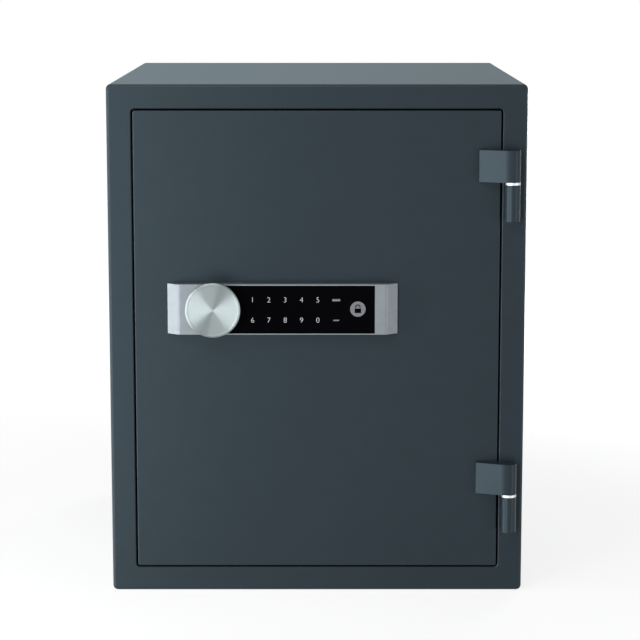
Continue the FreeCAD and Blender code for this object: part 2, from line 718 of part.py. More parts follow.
def lid_window(fit, y0, y1):
    half_length = LID_LENGTH / 2 - fit
    half_height = LID_HEIGHT / 2 - fit
    return box(
        HOLDER_X - half_length, HOLDER_X + half_length, y0, y1, HOLDER_Z - half_height, HOLDER_Z + half_height
    )


def inner_cover():
    shell = plug(0, COVER_BACK)
    shell = shell.makeFillet(COVER_EDGE_RADIUS, edges_at_y(shell, COVER_BACK))
    hollow = plug(COVER_WALL, CHAMBER_BACK)
    panel = prism(
        TIP_WIDTH - 2 * COVER_PANEL_INSET,
        TIP_HEIGHT - 2 * COVER_PANEL_INSET,
        PLUG_RADIUS,
        COVER_BACK - COVER_PANEL_DEPTH,
        COVER_BACK,
    )
    side = PLUG_WIDTH / 2
    ends = [rod_x(-side, 0, STRIKE_RADIUS, BOLT_Y, z) for z in BOLT_HEIGHTS]
    ends += [rod_x(0, side, DEAD_BOLT_DIAMETER / 2, BOLT_Y, z) for z in BOLT_HEIGHTS]
    screws = [rod_y(x, CHAMBER_BACK, COVER_BACK, COVER_SCREW / 2, z) for x, z in corners(POST_X, POST_Z)]
    return shell.cut([hollow, panel, lid_window(0, CHAMBER_BACK, COVER_BACK)] + ends + screws)


def cover_posts():
    posts = [rod_y(x, CHASSIS_BACK, CHAMBER_BACK, POST_DIAMETER / 2, z) for x, z in corners(POST_X, POST_Z)]
    depth = CHAMBER_BACK - CHAMBER_DEPTH / 2
    holes = [rod_y(x, depth, CHAMBER_BACK, COVER_SCREW / 2, z) for x, z in corners(POST_X, POST_Z)]
    return Part.makeCompound(posts).cut(holes)


def cover_screws():
    screws = []
    depth = CHAMBER_BACK - CHAMBER_DEPTH / 2
    for x, z in corners(POST_X, POST_Z):
        shank = rod_y(x, depth, COVER_BACK, COVER_SCREW / 2, z)
        head = rod_y(x, COVER_BACK, COVER_BACK + COVER_WALL, POST_DIAMETER / 2, z)
        screws.append(shank.fuse(head).removeSplitter())
    return Part.makeCompound(screws)


def chassis_ear(x0, x1, z):
    return box(x0, x1, CHASSIS_BACK, CHAMBER_BACK - EAR_GAP, z - EAR_HEIGHT / 2, z + EAR_HEIGHT / 2)


def lock_chassis():
    plate = box(
        -CHASSIS_WIDTH / 2,
        CHASSIS_WIDTH / 2,
        FILL_BACK,
        CHASSIS_BACK,
        MID_HEIGHT - CHASSIS_HEIGHT / 2,
        MID_HEIGHT + CHASSIS_HEIGHT / 2,
    )
    ears = [chassis_ear(-EAR_X, -EAR_X + CHASSIS_SHEET, z) for z in BOLT_HEIGHTS]
    ears += [chassis_ear(EAR_X - CHASSIS_SHEET, EAR_X, z) for z in BOLT_HEIGHTS]
    spigot = BOLT_DIAMETER / 2 + BUSH_WALL / 2
    holes = [rod_x(-EAR_X, -EAR_X + CHASSIS_SHEET, spigot, BOLT_Y, z) for z in BOLT_HEIGHTS]
    holes += [rod_x(EAR_X - CHASSIS_SHEET, EAR_X, DEAD_BOLT_DIAMETER / 2, BOLT_Y, z) for z in BOLT_HEIGHTS]
    holes.append(rod_y(KNOB_X, FILL_BACK, CHASSIS_BACK, FRONT_BUSH_RADIUS, LOCK_Z))
    holes.append(rod_y(CABLE_X, FILL_BACK, CHASSIS_BACK, CABLE_HOLE, LOCK_Z))
    thread = STANDOFF_THREAD / 2
    holes += [rod_y(x, FILL_BACK, CHASSIS_BACK, thread, z) for x, z in corners(STANDOFF_X, POST_Z)]
    return plate.fuse(ears).removeSplitter().cut(holes)


def chassis_standoffs():
    """Rods from the door skin to the chassis, each with a thinner threaded end."""
    rods = []
    for x, z in corners(STANDOFF_X, POST_Z):
        rod = rod_y(x, FRONT + DOOR_SHEET, FILL_BACK, STANDOFF_DIAMETER / 2, z)
        thread = rod_y(x, FILL_BACK, CHASSIS_BACK + NUT_HEIGHT, STANDOFF_THREAD / 2, z)
        rods.append(rod.fuse(thread).removeSplitter())
    return Part.makeCompound(rods)


def chassis_nuts():
    nuts = []
    for x, z in corners(STANDOFF_X, POST_Z):
        nut = hexagon(x, CHASSIS_BACK, CHASSIS_BACK + NUT_HEIGHT, z, NUT_FLATS)
        nuts.append(nut.cut(rod_y(x, CHASSIS_BACK, CHASSIS_BACK + NUT_HEIGHT, STANDOFF_THREAD / 2, z)))
    return Part.makeCompound(nuts)


def bolt_bushes():
    bushes = []
    radius = BOLT_DIAMETER / 2
    for z in BOLT_HEIGHTS:
        inner = -EAR_X + CHASSIS_SHEET
        body = rod_x(inner, inner + BUSH_LENGTH, radius + BUSH_WALL, BOLT_Y, z)
        spigot = rod_x(-EAR_X, inner, radius + BUSH_WALL / 2, BOLT_Y, z)
        bore = rod_x(-EAR_X, inner + BUSH_LENGTH, radius + RUNNING_CLEARANCE, BOLT_Y, z)
        bushes.append(body.fuse(spigot).removeSplitter().cut(bore))
    return Part.makeCompound(bushes)


def dead_bolts():
    bolts = []
    radius = DEAD_BOLT_DIAMETER / 2
    for z in BOLT_HEIGHTS:
        inner = EAR_X - CHASSIS_SHEET
        head = rod_x(inner - DEAD_BOLT_HEAD, inner, radius + BUSH_WALL, BOLT_Y, z)
        shank = rod_x(inner, DEAD_BOLT_TIP, radius, BOLT_Y, z)
        tip = [e for e in shank.Edges if e.BoundBox.XMin > DEAD_BOLT_TIP - TOLERANCE]
        bolts.append(head.fuse(shank.makeChamfer(DEAD_BOLT_CHAMFER, tip)).removeSplitter())
    return Part.makeCompound(bolts)


# Lock bar


def lock_bezel():
    """Bar with low walls, sloped ends and a flat front, a seat for the glass and a room for the board."""
    slope = math.atan2(BEZEL_DEPTH - BEZEL_WALL, BEZEL_SLOPE)
    ease = BEZEL_EASE * math.tan(slope / 2)
    bottom = BEZEL_Z - BEZEL_HEIGHT / 2
    section = [
        (0, FRONT),
        (0, FRONT - BEZEL_WALL),
        (BEZEL_SLOPE - ease * math.cos(slope), BEZEL_FRONT + ease * math.sin(slope)),
        (
            BEZEL_SLOPE + ease - BEZEL_EASE * math.sin(slope / 2),
            BEZEL_FRONT + BEZEL_EASE * (1 - math.cos(slope / 2)),
        ),
        (BEZEL_SLOPE + ease, BEZEL_FRONT),
    ]
    left = [vector(BEZEL_LEFT + x, y, bottom) for x, y in section]
    right = [vector(BEZEL_RIGHT - x, y, bottom) for x, y in section]
    edges = [
        Part.LineSegment(left[0], left[1]).toShape(),
        Part.LineSegment(left[1], left[2]).toShape(),
        Part.Arc(left[2], left[3], left[4]).toShape(),
        Part.LineSegment(left[4], right[4]).toShape(),
        Part.Arc(right[4], right[3], right[2]).toShape(),
        Part.LineSegment(right[2], right[1]).toShape(),
        Part.LineSegment(right[1], right[0]).toShape(),
        Part.LineSegment(right[0], left[0]).toShape(),
    ]
    bar = Part.Face(Part.Wire(edges)).extrude(vector(0, 0, BEZEL_HEIGHT))
    rim = []
    for side in bar.Edges:
        if side.BoundBox.ZLength < TOLERANCE and side.BoundBox.YMax < FRONT - BEZEL_WALL + TOLERANCE:
            rim.append(side)
    bar = bar.makeFillet(BEZEL_EDGE_RADIUS, rim)
    z0 = BEZEL_Z - GLASS_HEIGHT / 2
    z1 = BEZEL_Z + GLASS_HEIGHT / 2
    seat = box(KNOB_X, GLASS_RIGHT, BEZEL_FRONT, BEZEL_FRONT + GLASS_THICKNESS, z0, z1)
    bush = rod_y(KNOB_X, BEZEL_FRONT, FRONT, FRONT_BUSH_RADIUS, LOCK_Z)
    studs = [rod_y(x, FRONT - BEZEL_DEPTH / 2, FRONT, STUD_DIAMETER / 2, BEZEL_Z) for x in STUD_X]
    return bar.cut([seat, board_room(BEZEL_LEDGE, BEZEL_FRONT), board_room(0, BOARD_FRONT), bush] + studs)


def board_room(ledge, y0):
    """Room behind the glass, from beside the knob's bush to the right end of the glass."""
    x0 = KNOB_X + FRONT_BUSH_RADIUS + BEZEL_LEDGE + ledge
    x1 = GLASS_RIGHT - ledge
    half = GLASS_HEIGHT / 2 - ledge
    return box(x0, x1, y0, FRONT, BEZEL_Z - half, BEZEL_Z + half)


def touch_glass():
    """Touch panel, notched round the knob's bush."""
    half = GLASS_HEIGHT / 2 - GLASS_FIT
    sheet = box(
        KNOB_X + GLASS_FIT,
        GLASS_RIGHT - GLASS_FIT,
        BEZEL_FRONT,
        BEZEL_FRONT + GLASS_THICKNESS,
        BEZEL_Z - half,
        BEZEL_Z + half,
    )
    return sheet.cut(rod_y(KNOB_X, BEZEL_FRONT, FRONT, FRONT_BUSH_RADIUS + GLASS_FIT, LOCK_Z))


def keypad_board():
    half = GLASS_HEIGHT / 2 - GLASS_FIT
    x0 = KNOB_X + FRONT_BUSH_RADIUS + BEZEL_LEDGE + GLASS_FIT
    x1 = GLASS_RIGHT - GLASS_FIT
    return box(x0, x1, BOARD_FRONT, BOARD_FRONT + BOARD_THICKNESS, BEZEL_Z - half, BEZEL_Z + half)


def bezel_studs():
    back = FRONT + DOOR_SHEET + NUT_HEIGHT
    studs = []
    for x in STUD_X:
        shank = rod_y(x, FRONT - BEZEL_DEPTH / 2, back, STUD_DIAMETER / 2, BEZEL_Z)
        studs.append(shank.fuse(hexagon(x, FRONT + DOOR_SHEET, back, BEZEL_Z, NUT_FLATS)).removeSplitter())
    return Part.makeCompound(studs)


# Knob and spindle


def knob():
    """Turned knob with a waisted back, a bevelled rim and a shallow dish, bored for the spindle."""
    rim = KNOB_DIAMETER / 2
    base = KNOB_BASE_DIAMETER / 2
    lip = rim - KNOB_BEVEL - KNOB_LIP
    profile = [
        vector(0, KNOB_BACK, 0),
        vector(base, KNOB_BACK, 0),
        vector(rim, KNOB_FRONT + KNOB_RIM_DEPTH, 0),
        vector(rim, KNOB_FRONT + KNOB_BEVEL, 0),
        vector(rim - KNOB_BEVEL, KNOB_FRONT, 0),
        vector(lip, KNOB_FRONT, 0),
        vector(lip - 2 * KNOB_DISH, KNOB_FRONT + KNOB_DISH, 0),
        vector(0, KNOB_FRONT + KNOB_DISH, 0),
    ]
    face = Part.Face(Part.makePolygon(profile + profile[:1]))
    body = face.revolve(vector(0, 0, 0), Y_AXIS, 360)
    body.translate(vector(KNOB_X, 0, LOCK_Z))
    return body.cut(rod_y(KNOB_X, KNOB_FRONT + KNOB_LENGTH / 2, KNOB_BACK, SPINDLE_DIAMETER / 2, LOCK_Z))


def spindle():
    return rod_y(KNOB_X, KNOB_FRONT + KNOB_LENGTH / 2, SPINDLE_END, SPINDLE_DIAMETER / 2, LOCK_Z)


def front_bush():
    bore = SPINDLE_DIAMETER / 2 + RUNNING_CLEARANCE
    body = rod_y(KNOB_X, BEZEL_FRONT, FRONT + DOOR_SHEET, FRONT_BUSH_RADIUS, LOCK_Z)
    return body.cut(rod_y(KNOB_X, BEZEL_FRONT, FRONT + DOOR_SHEET, bore, LOCK_Z))


def spindle_sleeve():
    bore = FRONT_BUSH_RADIUS - SPINDLE_BUSH_WALL / 2
    body = rod_y(KNOB_X, FRONT + DOOR_SHEET, FILL_BACK, FRONT_BUSH_RADIUS, LOCK_Z)
    return body.cut(rod_y(KNOB_X, FRONT + DOOR_SHEET, FILL_BACK, bore, LOCK_Z))


def rear_bush():
    flange = CHASSIS_BACK + CHASSIS_SHEET
    body = rod_y(KNOB_X, FILL_BACK, CHASSIS_BACK, FRONT_BUSH_RADIUS, LOCK_Z)
    collar = rod_y(KNOB_X, CHASSIS_BACK, flange, FRONT_BUSH_RADIUS + CHASSIS_SHEET, LOCK_Z)
    bore = rod_y(KNOB_X, FILL_BACK, flange, SPINDLE_DIAMETER / 2 + RUNNING_CLEARANCE, LOCK_Z)
    return body.fuse(collar).removeSplitter().cut(bore)


def involute(angle):
    return math.tan(angle) - angle


def pinion():
    """Involute spur gear with one tooth pointing straight down into the rack."""
    pressure = math.radians(PRESSURE_ANGLE)
    base = PITCH_RADIUS * math.cos(pressure)
    root = PITCH_RADIUS - DEDENDUM
    half_tooth = math.pi / (2 * PINION_TEETH) - BACKLASH / (4 * PITCH_RADIUS) + involute(pressure)
    flank = [(root, half_tooth)]
    for step in range(FLANK_STEPS + 1):
        radius = base + (PINION_TIP - base) * step / FLANK_STEPS
        flank.append((radius, half_tooth - involute(math.acos(base / radius))))
    points = []
    for tooth in range(PINION_TEETH):
        middle = -math.pi / 2 + 2 * math.pi * tooth / PINION_TEETH
        sides = [(r, middle - a) for r, a in flank] + [(r, middle + a) for r, a in reversed(flank)]
        for radius, angle in sides:
            points.append(
                vector(KNOB_X + radius * math.cos(angle), PLATE_FRONT, LOCK_Z + radius * math.sin(angle))
            )
    gear = polygon_prism(points, vector(0, PLATE_THICKNESS, 0))
    return gear.cut(rod_y(KNOB_X, PLATE_FRONT, PLATE_BACK, SPINDLE_DIAMETER / 2, LOCK_Z))


def spindle_clip():
    ring = rod_y(KNOB_X, PLATE_BACK, PLATE_BACK + CLIP_THICKNESS, FRONT_BUSH_RADIUS, LOCK_Z)
    return ring.cut(rod_y(KNOB_X, PLATE_BACK, PLATE_BACK + CLIP_THICKNESS, SPINDLE_DIAMETER / 2, LOCK_Z))


# Boltwork


def rack_points():
    """Top edge of the rack, from its right end to its left end, with a tooth space under the knob."""
    lean = math.tan(math.radians(PRESSURE_ANGLE))
    half = TOOTH_PITCH / 4 - BACKLASH / 4
    top = RACK_LINE + GEAR_MODULE
    foot = RACK_LINE - DEDENDUM
    first = -int(RACK_LEAD / TOOTH_PITCH)
    last = int((BAR_LEFT - KNOB_X) / TOOTH_PITCH)
    points = []
    for tooth in range(last - 1, first - 1, -1):
        middle = KNOB_X + (tooth + 0.5) * TOOTH_PITCH
        points.append((middle + half + DEDENDUM * lean, foot))
        points.append((middle + half - GEAR_MODULE * lean, top))
        points.append((middle - half + GEAR_MODULE * lean, top))
        points.append((middle - half - DEDENDUM * lean, foot))
    return points


def bolt_plate():
    """Cut plate: upright bar, rack arm under the pinion and latch arm with two notches."""
    foot = RACK_LINE - DEDENDUM
    left = KNOB_X - RACK_LEAD
    rack = [(BAR_LEFT, RACK_LINE - RACK_BACK), (BAR_LEFT, foot)] + rack_points()
    rack += [(left, foot), (left, RACK_LINE - RACK_BACK)]
    arm = polygon_prism([vector(x, PLATE_FRONT, z) for x, z in rack], vector(0, PLATE_THICKNESS, 0))
    bar_right = BAR_LEFT + BAR_WIDTH
    z0 = BOLT_HEIGHTS[0] - BAR_END
    z1 = BOLT_HEIGHTS[1] + BAR_END
    bar = box(BAR_LEFT, bar_right, PLATE_FRONT, PLATE_BACK, z0, z1)
    latch_right = PLUNGER_X + BOLT_TRAVEL + LATCH_NOTCH + BAR_CLEARANCE
    latch = box(bar_right, latch_right, PLATE_FRONT, PLATE_BACK, LATCH_TOP - LATCH_ARM, LATCH_TOP)
    cuts = []
    half = LATCH_NOTCH / 2
    notch_foot = LATCH_TOP - LATCH_NOTCH_DEPTH
    for x in (PLUNGER_X, PLUNGER_X + BOLT_TRAVEL):
        cuts.append(box(x - half, x + half, PLATE_FRONT, PLATE_BACK, notch_foot, LATCH_TOP))
    cuts += [rod_y(BAR_LEFT + BOLT_SLOT / 2, PLATE_FRONT, PLATE_BACK, BOLT_PIN / 2, z) for z in BOLT_HEIGHTS]
    return bar.fuse([arm, latch]).removeSplitter().cut(cuts)


def locking_bolts():
    """Round bolts, chamfered at the tip and slotted at the tail to straddle the bolt plate."""
    bolts = []
    radius = BOLT_DIAMETER / 2
    tail = BAR_LEFT + BOLT_SLOT
    for z in BOLT_HEIGHTS:
        bolt = rod_x(BOLT_TIP, tail, radius, BOLT_Y, z)
        tip = [e for e in bolt.Edges if e.BoundBox.XMax < BOLT_TIP + TOLERANCE]
        bolt = bolt.makeChamfer(BOLT_CHAMFER, tip)
        slot = box(BAR_LEFT, tail, PLATE_FRONT, PLATE_BACK, z - BOLT_DIAMETER, z + BOLT_DIAMETER)
        hole = rod_y(BAR_LEFT + BOLT_SLOT / 2, BOLT_Y - radius, BOLT_Y + radius, BOLT_PIN / 2, z)
        bolts.append(bolt.cut([slot, hole]))
    return Part.makeCompound(bolts)


def bolt_pins():
    half = BOLT_DIAMETER / 2
    x = BAR_LEFT + BOLT_SLOT / 2
    return Part.makeCompound([rod_y(x, BOLT_Y - half, BOLT_Y + half, BOLT_PIN / 2, z) for z in BOLT_HEIGHTS])


# Solenoid latch


def solenoid_bore(z0, z1):
    return rod_z(PLUNGER_X, BOLT_Y, z0, z1, PLUNGER_DIAMETER / 2 + RUNNING_CLEARANCE)


def solenoid_frame():
    half = SOLENOID_WIDTH / 2
    y1 = CHAMBER_BACK - EAR_GAP
    block = box(PLUNGER_X - half, PLUNGER_X + half, CHASSIS_BACK, y1, SOLENOID_BOTTOM, SOLENOID_TOP)
    room = box(
        PLUNGER_X - half,
        PLUNGER_X + half,
        CHASSIS_BACK + SOLENOID_SHEET,
        y1,
        SOLENOID_BOTTOM + SOLENOID_SHEET,
        SOLENOID_TOP - SOLENOID_SHEET,
    )
    return block.cut([room, solenoid_bore(SOLENOID_BOTTOM, SOLENOID_TOP)])


def solenoid_coil():
    z0 = SOLENOID_BOTTOM + SOLENOID_SHEET
    z1 = SOLENOID_TOP - SOLENOID_SHEET
    radius = PLUNGER_DIAMETER / 2 + COIL_WALL
    winding = rod_z(PLUNGER_X, BOLT_Y, z0, z1, radius)
    cheeks = [
        rod_z(PLUNGER_X, BOLT_Y, z0, z0 + SOLENOID_SHEET, radius + COIL_CHEEK),
        rod_z(PLUNGER_X, BOLT_Y, z1 - SOLENOID_SHEET, z1, radius + COIL_CHEEK),
    ]
    return winding.fuse(cheeks).removeSplitter().cut(solenoid_bore(z0, z1))


def solenoid_plunger():
    tip = LATCH_TOP + PLUNGER_GAP
    top = SOLENOID_TOP + PLUNGER_HEAD
    rod = rod_z(PLUNGER_X, BOLT_Y, tip, top, PLUNGER_DIAMETER / 2)
    rod = rod.makeChamfer(PLUNGER_CHAMFER, [e for e in rod.Edges if e.BoundBox.ZMax < tip + TOLERANCE])
    head = rod_z(PLUNGER_X, BOLT_Y, top, top + CLIP_THICKNESS, PLUNGER_DIAMETER / 2 + PLUNGER_FLANGE)
    return rod.fuse(head).removeSplitter()


# Electronics and batteries


def connector():
    """Socket under the left edge of the control board."""
    half = CONNECTOR_HEIGHT / 2
    x1 = BOARD_LEFT + CONNECTOR_WIDTH
    return box(BOARD_LEFT, x1, CHASSIS_BACK + CONNECTOR_GAP, BOARD_Y, CABLE_Z - half, CABLE_Z + half)


def control_board():
    y1 = BOARD_Y + BOARD_THICKNESS
    z0 = BOARD_Z - BOARD_HEIGHT / 2
    z1 = BOARD_Z + BOARD_HEIGHT / 2
    panel = box(BOARD_LEFT, BOARD_RIGHT, BOARD_Y, y1, z0, z1)
    right = BOARD_RIGHT - PIECE_INSET
    foot = z0 + PIECE_INSET
    relay = box(right - RELAY_LENGTH, right, y1, y1 + RELAY_DEPTH, foot, foot + RELAY_HEIGHT)
    middle = (BOARD_LEFT + BOARD_RIGHT) / 2
    chip = box(middle, middle + CHIP_SIZE, y1, y1 + CHIP_DEPTH, BOARD_Z, BOARD_Z + CHIP_SIZE)
    reach = SOUNDER_DIAMETER / 2
    sounder = rod_y(right - reach, y1, y1 + SOUNDER_DEPTH, reach, z1 - PIECE_INSET - reach)
    return panel.fuse([relay, chip, sounder, connector()]).removeSplitter()


def board_standoffs():
    pegs = []
    rise = BOARD_HEIGHT / 2 - PEG_INSET
    for x in (BOARD_LEFT + PEG_INSET, BOARD_RIGHT - PEG_INSET):
        for z in (BOARD_Z - rise, BOARD_Z + rise):
            pegs.append(rod_y(x, CHASSIS_BACK, BOARD_Y, PEG_DIAMETER / 2, z))
    return Part.makeCompound(pegs)


def cable_sleeve():
    body = rod_y(CABLE_X, FRONT + DOOR_SHEET, FILL_BACK, CABLE_HOLE, LOCK_Z)
    return body.cut(rod_y(CABLE_X, FRONT + DOOR_SHEET, FILL_BACK, CABLE_HOLE - CABLE_SLEEVE_WALL / 2, LOCK_Z))


def lock_cable():
    """Cable from the back of the keypad board through the door, up and across into the connector."""
    bend = CABLE_BEND * math.sqrt(0.5)
    turn = CABLE_TURN * math.sqrt(0.5)
    start = vector(CABLE_X, BOARD_FRONT + BOARD_THICKNESS, LOCK_Z)
    out = vector(CABLE_X, CHASSIS_BACK, LOCK_Z)
    out_middle = vector(CABLE_X, CHASSIS_BACK + bend, LOCK_Z + CABLE_BEND - bend)
    rising = vector(CABLE_X, CABLE_Y, LOCK_Z + CABLE_BEND)
    high = vector(CABLE_X, CABLE_Y, CABLE_Z - CABLE_TURN)
    high_middle = vector(CABLE_X + CABLE_TURN - turn, CABLE_Y, CABLE_Z - CABLE_TURN + turn)
    across = vector(CABLE_X + CABLE_TURN, CABLE_Y, CABLE_Z)
    end = vector(BOARD_LEFT, CABLE_Y, CABLE_Z)
    path = [
        Part.LineSegment(start, out).toShape(),
        Part.Arc(out, out_middle, rising).toShape(),
        Part.LineSegment(rising, high).toShape(),
        Part.Arc(high, high_middle, across).toShape(),
        Part.LineSegment(across, end).toShape(),
    ]
    section = Part.Wire(Part.makeCircle(CABLE_DIAMETER / 2, start, Y_AXIS))
    return Part.Wire(path).makePipeShell([section], True, True)


def battery_holder():
    half_length = HOLDER_INNER_LENGTH / 2
    half_height = HOLDER_INNER_HEIGHT / 2
    y0 = CHAMBER_BACK - HOLDER_INNER_DEPTH - HOLDER_WALL
    tray = box(
        HOLDER_X - half_length - HOLDER_WALL,
        HOLDER_X + half_length + HOLDER_WALL,
        y0,
        CHAMBER_BACK,
        HOLDER_Z - half_height - HOLDER_WALL,
        HOLDER_Z + half_height + HOLDER_WALL,
    )
    room = box(
        HOLDER_X - half_length,
        HOLDER_X + half_length,
        y0 + HOLDER_WALL,
        CHAMBER_BACK,
        HOLDER_Z - half_height,
        HOLDER_Z + half_height,
    )
    return tray.cut(room)


def battery_cells():
    cells = []
    y = CHAMBER_BACK - HOLDER_INNER_DEPTH + CELL_GAP + CELL_DIAMETER / 2
    step = (CELL_LENGTH + CELL_GAP) / 2
    rise = (CELL_DIAMETER + CELL_GAP) / 2
    for sz in (-1, 1):
        for sx in (-1, 1):
            x0 = HOLDER_X + sx * step - CELL_LENGTH / 2
            z = HOLDER_Z + sz * rise
            can = rod_x(x0, x0 + CELL_LENGTH - CELL_CAP, CELL_DIAMETER / 2, y, z)
            cap = rod_x(x0 + CELL_LENGTH - CELL_CAP, x0 + CELL_LENGTH, CELL_CAP_DIAMETER / 2, y, z)
            cells.append(can.fuse(cap).removeSplitter())
    return Part.makeCompound(cells)


def battery_lid():
    """Clip-off lid, level with the panel, with grip ribs."""
    y1 = COVER_BACK - COVER_PANEL_DEPTH
    lid = lid_window(LID_FIT, CHAMBER_BACK + LID_FIT, y1)
    ribs = []
    for index in range(RIB_COUNT):
        x = HOLDER_X + LID_LENGTH / 2 - RIB_INSET - RIB_PITCH * index
        rise = LID_HEIGHT / 4
        ribs.append(box(x, x + RIB_WIDTH, y1, y1 + COVER_PANEL_DEPTH, HOLDER_Z - rise, HOLDER_Z + rise))
    return lid.fuse(ribs).removeSplitter()


def build_nodes():
    nodes = {
        "outer_wrap": outer_wrap(),
        "back_panel": back_panel(),
        "door_frame": door_frame(),
        "jamb_angles": jamb_angles(),
        "liner_walls": liner_walls(),
        "liner_floor": liner_floor(),
        "liner_back": liner_back(),
        "strike_boxes": strike_boxes(),
        "keeper_boxes": keeper_boxes(),
        "anchor_sleeves": anchor_sleeves(),
        "shelf_rails": shelf_rails(),
        "shelf": shelf(),
        "door_pan": door_pan(),
        "inner_cover": inner_cover(),
        "door_seal": door_seal(),
        "lock_chassis": lock_chassis(),
        "chassis_standoffs": chassis_standoffs(),
        "chassis_nuts": chassis_nuts(),
        "cover_posts": cover_posts(),
        "cover_screws": cover_screws(),
        "bolt_bushes": bolt_bushes(),
        "dead_bolts": dead_bolts(),
        "lock_bezel": lock_bezel(),
        "touch_glass": touch_glass(),
        "keypad_board": keypad_board(),
        "bezel_studs": bezel_studs(),
        "knob": knob(),
        "spindle": spindle(),
        "front_bush": front_bush(),
        "spindle_sleeve": spindle_sleeve(),
        "rear_bush": rear_bush(),
        "pinion": pinion(),
        "spindle_clip": spindle_clip(),
        "bolt_plate": bolt_plate(),
        "locking_bolts": locking_bolts(),
        "bolt_pins": bolt_pins(),
        "solenoid_frame": solenoid_frame(),
        "solenoid_coil": solenoid_coil(),
        "solenoid_plunger": solenoid_plunger(),
        "control_board": control_board(),
        "board_standoffs": board_standoffs(),
        "cable_sleeve": cable_sleeve(),
        "lock_cable": lock_cable(),
        "battery_holder": battery_holder(),
        "battery_cells": battery_cells(),
        "battery_lid": battery_lid(),
    }
    for place, split in HINGE_HEIGHTS.items():
        nodes[place + "_hinge_leaf"] = hinge_leaf(split)
        nodes[place + "_hinge_knuckle"] = frame_knuckle(split)
        nodes[place + "_hinge_pin"] = hinge_pin(split)
        nodes[place + "_hinge_washer"] = thrust_washer(split)
    in_body = ("strike_boxes", "keeper_boxes", "anchor_sleeves")
    nodes["body_insulation"] = body_insulation([nodes[name] for name in in_body])
    in_door = ("chassis_standoffs", "bezel_studs", "spindle_sleeve", "cable_sleeve")
    nodes["door_insulation"] = door_insulation([nodes[name] for name in in_door])
    return nodes


os.makedirs("parts", exist_ok=True)
for node, shape in build_nodes().items():
    shape.exportStep(os.path.join("parts", node + ".step"))
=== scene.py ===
import json
import math

import bpy
import bmesh
from mathutils import Matrix, Vector


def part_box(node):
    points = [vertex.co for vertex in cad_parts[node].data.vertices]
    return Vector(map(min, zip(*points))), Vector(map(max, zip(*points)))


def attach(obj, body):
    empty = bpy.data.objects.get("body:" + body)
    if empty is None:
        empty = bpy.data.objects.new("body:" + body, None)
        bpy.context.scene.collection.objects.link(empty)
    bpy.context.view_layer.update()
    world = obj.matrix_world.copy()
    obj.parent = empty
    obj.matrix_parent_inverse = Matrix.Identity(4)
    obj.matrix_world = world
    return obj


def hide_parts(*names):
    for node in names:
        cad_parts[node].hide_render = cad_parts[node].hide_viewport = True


# A slate grey fire safe with a brushed aluminium touch lock, on a white studio floor. Metres.

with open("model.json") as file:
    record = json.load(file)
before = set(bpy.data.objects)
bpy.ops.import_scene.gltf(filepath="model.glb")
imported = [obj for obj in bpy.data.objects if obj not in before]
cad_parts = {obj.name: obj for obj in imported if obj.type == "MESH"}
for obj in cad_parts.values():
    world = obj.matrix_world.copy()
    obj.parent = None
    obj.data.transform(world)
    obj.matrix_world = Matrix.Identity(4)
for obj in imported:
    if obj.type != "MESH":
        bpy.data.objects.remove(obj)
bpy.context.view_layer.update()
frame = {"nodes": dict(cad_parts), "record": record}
nodes = frame["nodes"]

# Camera
CAMERA_PLACE = Vector((0.003, -2.21, 0.630))
CAMERA_PITCH = math.radians(8.58)
FOCAL_PIXELS = 2050.0
FRAME_PIXELS = 640.0
CAMERA_SHIFT = -0.08
SENSOR_MILLIMETRES = 36.0
VIEW_REACH = 100.0

# Textures
UNSTRETCHED = (1.0, 1.0, 1.0)
NOISE_RANGE = (0.3, 0.7)
UNIT_RANGE = (0.0, 1.0)
BLOTCH_SCALE = 0.05
BLOTCH_DETAIL = 4.0
GRAIN_DETAIL = 3.0
ALONG_BAR = (0.02, 1.0, 1.0)
KNOB_FACE = (1.0, 0.0, 1.0)
RING_SCALE = 4500.0

# Touch panel marks
PRINT_RISE = 0.00005
DIGIT_HEIGHT = 0.0055
DIGIT_SHARE = 0.73
DIGIT_THINNING = -0.00012
DIGIT_PITCH = 0.0161
FIRST_DIGIT = 0.0385
ROW_RISE = 0.0101
PANEL_RISE = -0.0006
KEY_COLUMN = 0.1210
UPPER_KEY = (0.0082, 0.0022)
LOWER_KEY = (0.0060, 0.0013)
EMBLEM_COLUMN = 0.1423
EMBLEM_RISE = 0.0012
EMBLEM_RADIUS = 0.0076
CURVE_STEPS = 32
WELD = 1e-7

# Padlock in the emblem
PADLOCK_HALF = 0.42 * EMBLEM_RADIUS
PADLOCK_LOW = -0.52 * EMBLEM_RADIUS
PADLOCK_HIGH = 0.08 * EMBLEM_RADIUS
SHACKLE_OUTER = 0.34 * EMBLEM_RADIUS
SHACKLE_INNER = 0.21 * EMBLEM_RADIUS
SHACKLE_GAP = 0.10 * EMBLEM_RADIUS
SHACKLE_LEG = 0.10 * EMBLEM_RADIUS

# Screw heads of the inner cover
HEAD_RADIUS = 0.0050
HEAD_HEIGHT = 0.0025
HEAD_RIM = 0.0004
HEAD_TURNS = (12, 57, 33, 78)
DOME_STEPS = 8
RECESS_REACH = 0.0026
RECESS_HALF = 0.00055
RECESS_FLOOR = 0.0011

# Stage
FILL_COLOUR = (0.90, 0.96, 1.0, 1.0)
FILL_STRENGTH = 0.10
WHITE = (1.0, 1.0, 1.0, 1.0)
FLOOR_HALF = 9.0
FLOOR_DROP = 0.0003
FLOOR_COLOUR = (0.25, 0.25, 0.25, 1.0)
FLOOR_REACH = (0.4, 1.5)
FLOOR_GLOW = (0.80, 1.0)
CARD_PLACE = 2.6
CARD_HALF = 3.0
CARD_HEIGHT = 2.5
CARD_BLEND = (-0.8, 0.8)
CARD_LEFT = (0.64, 0.80, 0.87)
CARD_RIGHT = (0.49, 0.59, 0.63)


# Node helpers


def new_material(name):
    material = bpy.data.materials.new(name)
    material.use_nodes = True
    tree = material.node_tree
    return material, tree, tree.nodes["Principled BSDF"]


